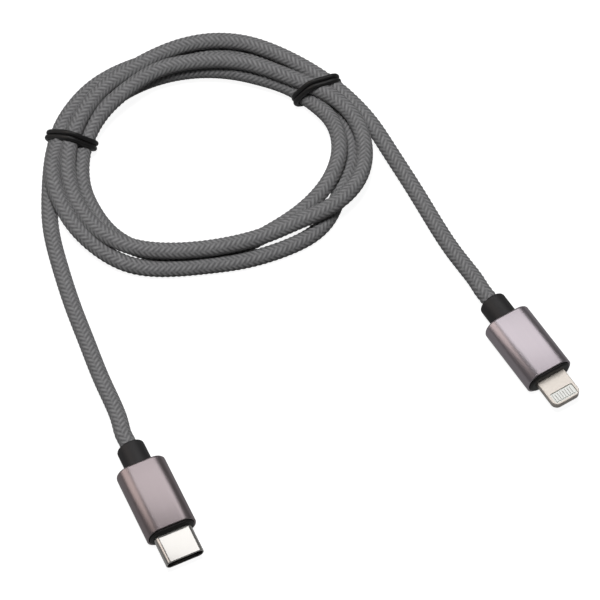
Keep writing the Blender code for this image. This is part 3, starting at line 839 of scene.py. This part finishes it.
class CABLE_OT_moulds(bpy.types.Operator):
    """Mould the black pieces that fill each sleeve's mouth."""
    bl_idname = "cable.moulds"
    bl_label = "Inner moulds"

    def execute(self, context):
        sizes, finishes = context.scene.cable_sizes, context.scene.cable_finishes
        material = moulded("black_mould", tuple(finishes.mould), 0.42)
        gap, proud, rim, tab_corner = 0.0001, 0.0005, 0.0004, 0.0001
        slot_back, slot_front = -0.006, 0.002
        inset = 2 * (sizes.sleeve_wall + gap)
        slots = {"shell_plug": (sizes.shell_width, sizes.shell_height, SHELL_CORNER),
                 "tab_plug": (sizes.tab_width, sizes.tab_thickness, tab_corner)}
        for prefix, (width, height, corner) in slots.items():
            mould = round_bar(prefix + "_mouth_mould", -ROOT, proud,
                              sizes.sleeve_width - inset, sizes.sleeve_height - inset,
                              sizes.sleeve_corner - inset / 2, 12)
            round_rim(mould, proud, rim, 5)
            cut(mould, round_bar("slot", slot_back, slot_front, width + 2 * gap,
                                 height + 2 * gap, corner + gap, 8))
            smooth(mould)
            put_on_plug(mould, prefix)
            finish_piece(mould, material, "cable", "black_mould", prefix + "_inner_mould")
        return {"FINISHED"}


class CABLE_OT_strain_reliefs(bpy.types.Operator):
    """Mould the round collars that the cord leaves by."""
    bl_idname = "cable.strain_reliefs"
    bl_label = "Strain reliefs"

    def execute(self, context):
        sizes, finishes = context.scene.cable_sizes, context.scene.cable_finishes
        material = moulded("black_collar", tuple(finishes.collar), 0.5, grain=6500.0,
                           relief=0.00003, Specular_IOR_Level=0.32)
        radius = sizes.collar_diameter / 2
        sleeve_back = -sizes.sleeve_length
        back = sleeve_back - sizes.collar_reach
        neck, flange, rim = 0.0009, 0.0013, 0.0006
        bore_radius, seat_depth, seat_gap = 0.00145, 0.00022, 0.00004
        neck_front = sleeve_back + neck
        for prefix in PLUGS:
            collar = add_rod(prefix + "_collar", back, neck_front, radius)
            round_rim(collar, back, rim, 6)
            edit(collar)
            pick_faces(collar, lambda middle, normal: abs(middle.x - neck_front) < TINY)
            bpy.ops.mesh.extrude_region_move(TRANSFORM_OT_translate={"value": (0.0, 0.0, 0.0)})
            bpy.ops.transform.resize(value=(1.0, 1.6, 0.9),
                                     center_override=(neck_front, 0.0, 0.0))
            bpy.ops.mesh.extrude_region_move(TRANSFORM_OT_translate={"value": (flange, 0.0, 0.0)})
            leave()
            cut(collar, add_rod("bore", back - MM, neck_front + 3 * MM, bore_radius, 48))
            cut(collar, add_rod("seat", back - MM, back + seat_depth,
                                sizes.cord_diameter / 2 + seat_gap, 48))
            smooth(collar)
            put_on_plug(collar, prefix)
            finish_piece(collar, material, "cable", "black_mould", prefix + "_strain_relief")
        return {"FINISHED"}


class CABLE_OT_shell(bpy.types.Operator):
    """Draw the reversible plug's steel shell."""
    bl_idname = "cable.shell"
    bl_label = "Steel shell"

    def execute(self, context):
        sizes, finishes = context.scene.cable_sizes, context.scene.cable_finishes
        heading = PLUGS["shell_plug"][1]
        back, front = -ROOT, sizes.shell_reach
        wall, rim = 0.00025, 0.00014
        shell = round_bar("shell_plug_drawn_shell", back, front, sizes.shell_width,
                          sizes.shell_height, SHELL_CORNER, 12)
        hollow(shell, front, 1, wall, front - back)
        edit(shell)
        pick_faces(shell, lambda middle, normal: abs(middle.x - back) < TINY
                   and abs(normal.x) > 0.9)
        bpy.ops.mesh.delete(type="FACE")
        pick_edges(shell, lambda a, b: abs(a.x - back) < TINY and abs(b.x - back) < TINY)
        bpy.ops.mesh.bridge_edge_loops()
        bpy.ops.mesh.select_all(action="SELECT")
        bpy.ops.mesh.normals_make_consistent(inside=False)
        leave()
        edit(shell)
        half_width = sizes.shell_width / 2 - wall / 2
        half_height = sizes.shell_height / 2 - wall / 2

        def on_outside(point):
            return abs(point.y) > half_width or abs(point.z) > half_height or (
                math.hypot(max(abs(point.y) - (sizes.shell_width / 2 - SHELL_CORNER), 0.0),
                           max(abs(point.z) - (sizes.shell_height / 2 - SHELL_CORNER), 0.0))
                > SHELL_CORNER - wall / 2)

        pick_edges(shell, lambda a, b: abs(a.x - front) < TINY and abs(b.x - front) < TINY
                   and on_outside(a) and on_outside(b))
        bpy.ops.mesh.bevel(offset=rim, segments=4, affect="EDGES", profile=0.5)
        leave()
        smooth(shell)
        put_on_plug(shell, "shell_plug")
        material = brushed("bright_steel", tuple(finishes.steel), 0.17, heading, Metallic=0.8)
        finish_piece(shell, material, "cable", "bright_steel", "shell_plug_metal_shell")
        return {"FINISHED"}


class CABLE_OT_tab(bpy.types.Operator):
    """Mill the plated tab, with its window and its two round corners."""
    bl_idname = "cable.tab"
    bl_label = "Plated tab"

    def execute(self, context):
        sizes, finishes = context.scene.cable_sizes, context.scene.cable_finishes
        heading = PLUGS["tab_plug"][1]
        half_width, half = sizes.tab_width / 2, sizes.tab_thickness / 2
        back, front = -ROOT, sizes.tab_reach
        corner, edge = 0.0014, 0.00016
        window_back, window_front, window_side, window_corner = 0.00405, 0.00665, 0.00275, 0.0004
        tab = add_block("tab_plug_milled_tab", (back, -half_width, -half),
                        (front, half_width, half))
        edit(tab)
        pick_edges(tab, lambda a, b: abs(a.x - front) < TINY and abs(b.x - front) < TINY
                   and abs(a.z - b.z) > half)
        bpy.ops.mesh.bevel(offset=corner, segments=10, affect="EDGES", profile=0.5)
        behind = back + 100 * TINY
        pick_edges(tab, lambda a, b: abs(a.z - b.z) < TINY and min(a.x, b.x) > back - TINY
                   and abs(a.z) > half - TINY and not (a.x < behind and b.x < behind))
        bpy.ops.mesh.bevel(offset=edge, segments=4, affect="EDGES", profile=0.5)
        leave()
        window = add_block("window", (window_back, -window_side, -2 * MM),
                           (window_front, window_side, 2 * MM))
        edit(window)
        pick_edges(window, lambda a, b: abs(a.z - b.z) > MM)
        bpy.ops.mesh.bevel(offset=window_corner, segments=6, affect="EDGES", profile=0.5)
        leave()
        cut(tab, window)
        smooth(tab)
        put_on_plug(tab, "tab_plug")
        material = brushed("plated_tab", tuple(finishes.tab), 0.34, heading, grain=6500.0,
                           relief=0.000002, Metallic=0.4)
        finish_piece(tab, material, "cable", "plated_tab", "tab_plug_metal_tab")
        return {"FINISHED"}


class CABLE_OT_fittings(bpy.types.Operator):
    """Give every fitting that keeps its own shape its finish."""
    bl_idname = "cable.fittings"
    bl_label = "Contacts, boards and fittings"

    def execute(self, context):
        shell_turn = PLUGS["shell_plug"][1]
        tab_turn = PLUGS["tab_plug"][1]
        finishes = [
            (("_ground_spring", "_latch"),
             brushed("spring_steel", (0.50, 0.49, 0.46), 0.28, shell_turn)),
            (("_contact",),
             brushed("gold_contact", (0.83, 0.62, 0.28), 0.24, shell_turn)),
            (("_pad_",),
             brushed("plated_pad", (0.665, 0.665, 0.64), 0.30, tab_turn, grain=7000.0,
                     relief=0.000002, Metallic=0.45)),
            (("_contact_insert",),
             moulded("pale_plastic", (0.70, 0.71, 0.675), 0.34, grain=7000.0, spread=0.05,
                     Metallic=0.35)),
            (("_contact_carrier",),
             moulded("dark_plastic", (0.030, 0.030, 0.031), 0.5, grain=7000.0)),
            (("_circuit_board",),
             moulded("board_green", (0.02, 0.10, 0.05), 0.42, grain=3000.0, spread=0.2)),
            (("_chip",),
             moulded("chip_black", (0.016, 0.016, 0.017), 0.36, grain=8000.0)),
            (("_shield", "_crimp_ring"),
             brushed("tinplate", (0.55, 0.55, 0.53), 0.36, shell_turn, grain=3000.0)),
            (("_inner_jacket",),
             moulded("white_jacket", (0.58, 0.58, 0.56), 0.5, grain=5000.0)),
        ]
        for name, node in frame["nodes"].items():
            if node.hide_render:
                continue
            fitting = [material for endings, material in finishes
                       if any(name.endswith(ending) or (ending == "_pad_" and ending in name)
                              for ending in endings)]
            if not fitting:
                raise RuntimeError(f"{name} has no finish")
            node.data.materials.clear()
            node.data.materials.append(fitting[0])
        return {"FINISHED"}


# ---------------------------------------------------------------------------
# Stage
# ---------------------------------------------------------------------------

class CABLE_OT_stage(bpy.types.Operator):
    """Lay the pale floor, hang the soft lights and stand the camera."""
    bl_idname = "cable.stage"
    bl_label = "Stage"

    def execute(self, context):
        scene = context.scene
        self.stand_camera(scene)
        self.lay_floor()
        self.soft_light(scene, "key", (-0.06, -0.02, 0.68), (-0.01, 0.033, 0.0), (0.20, 0.20),
                        3.3).visible_glossy = False
        # The two panels are what the metal mirrors
        for name, place, size, power, tone in (
                ("sheen_panel", (0.06, 0.55, 0.96), (1.00, 0.72), 4.3, (1.0, 1.0, 1.0)),
                ("left_panel", (-0.81, 0.23, 0.62), (0.62, 0.85), 2.6, (1.0, 0.89, 0.82))):
            self.soft_light(scene, name, place, (0.0, 0.02, 0.0), size, power,
                            tone).visible_diffuse = False
        world = bpy.data.worlds.new("studio")
        world.use_nodes = True
        sky = world.node_tree.nodes["Background"]
        sky.inputs["Color"].default_value = (1.0, 1.0, 1.0, 1.0)
        sky.inputs["Strength"].default_value = 0.06
        scene.world = world
        scene.view_settings.view_transform = "Standard"
        scene.view_settings.look = "None"
        return {"FINISHED"}

    @staticmethod
    def stand_camera(scene):
        """Far off and long in the lens, looking down at just under sixty degrees."""
        distance, elevation, roll = 0.6257, math.radians(57.9), -0.00572
        aim = Vector((-0.01014, 0.0334, 0.0))
        sensor_mm, focal_mm = 36.0, 175.6
        lens = bpy.data.cameras.new("camera")
        lens.sensor_width = sensor_mm
        lens.lens = focal_mm
        lens.dof.use_dof = False
        camera = bpy.data.objects.new("camera", lens)
        scene.collection.objects.link(camera)
        stand = aim + Vector((0.0, -distance * math.cos(elevation),
                              distance * math.sin(elevation)))
        camera.matrix_world = (Matrix.Translation(stand)
                               @ Matrix.Rotation(math.pi / 2 - elevation, 4, "X")
                               @ Matrix.Rotation(roll, 4, "Z"))
        scene.camera = camera

    def lay_floor(self):
        """A pale floor that glows to the camera, and just under it what the metal mirrors of
        it, dimmer."""
        floor = self.pale_plane("floor", 0.0, (0.28, 0.30), 0.93)
        floor.visible_glossy = False
        floor.visible_diffuse = False
        bounce = self.pale_plane("floor_bounce", -0.0005, (0.01, 0.02), 0.30)
        bounce.visible_camera = False
        bounce.visible_diffuse = False
        bounce.visible_shadow = False

    @staticmethod
    def pale_plane(name, height, greys, glow):
        deselect()
        bpy.ops.mesh.primitive_plane_add(size=6.0, location=(0.0, 0.0, height))
        plane = settle(bpy.context.object, name)
        finish = Finish("pale_" + name, 0.9)
        cloud = finish.noise(finish.place(), 3.0, 2.0)
        dark, light = [(grey, grey, grey) for grey in greys]
        finish.set(Base_Color=finish.blend(cloud, dark, light), Specular_IOR_Level=0.0,
                   Emission_Color=(1.0, 1.0, 1.0, 1.0), Emission_Strength=glow)
        plane.data.materials.append(finish.material)
        return plane

    @staticmethod
    def soft_light(scene, name, place, aim, size, power, tone=(1.0, 1.0, 1.0)):
        lamp = bpy.data.lights.new(name, "AREA")
        lamp.shape = "RECTANGLE"
        lamp.size, lamp.size_y = size
        lamp.energy = power
        lamp.color = tone
        box = bpy.data.objects.new(name, lamp)
        scene.collection.objects.link(box)
        box.location = place
        box.rotation_euler = (Vector(aim) - Vector(place)).to_track_quat("-Z", "Y").to_euler()
        return box


class CABLE_PT_panel(bpy.types.Panel):
    """Steps that build the cable, in order."""
    bl_label = "Braided Charging Cable"
    bl_idname = "CABLE_PT_panel"
    bl_space_type = "VIEW_3D"
    bl_region_type = "UI"
    bl_category = "Cable"

    def draw(self, context):
        layout = self.layout
        for step in STEPS:
            layout.operator(step.bl_idname)
        for group in (context.scene.cable_sizes, context.scene.cable_finishes):
            box = layout.box()
            for name in group.__annotations__:
                box.prop(group, name)


STEPS = (CABLE_OT_stage, CABLE_OT_cord, CABLE_OT_ties, CABLE_OT_sleeves, CABLE_OT_moulds,
         CABLE_OT_strain_reliefs, CABLE_OT_shell, CABLE_OT_tab, CABLE_OT_fittings)
CLASSES = (CableSizes, CableFinishes, *STEPS, CABLE_PT_panel)


def register():
    for kind in CLASSES:
        bpy.utils.register_class(kind)
    bpy.types.Scene.cable_sizes = bpy.props.PointerProperty(type=CableSizes)
    bpy.types.Scene.cable_finishes = bpy.props.PointerProperty(type=CableFinishes)


def unregister():
    del bpy.types.Scene.cable_finishes
    del bpy.types.Scene.cable_sizes
    for kind in reversed(CLASSES):
        bpy.utils.unregister_class(kind)


def main():
    register()
    bpy.ops.cable.stage()
    bpy.ops.cable.cord()
    bpy.ops.cable.ties()
    bpy.ops.cable.sleeves()
    bpy.ops.cable.moulds()
    bpy.ops.cable.strain_reliefs()
    bpy.ops.cable.shell()
    bpy.ops.cable.tab()
    bpy.ops.cable.fittings()
    deselect()


if __name__ == "__main__":
    main()
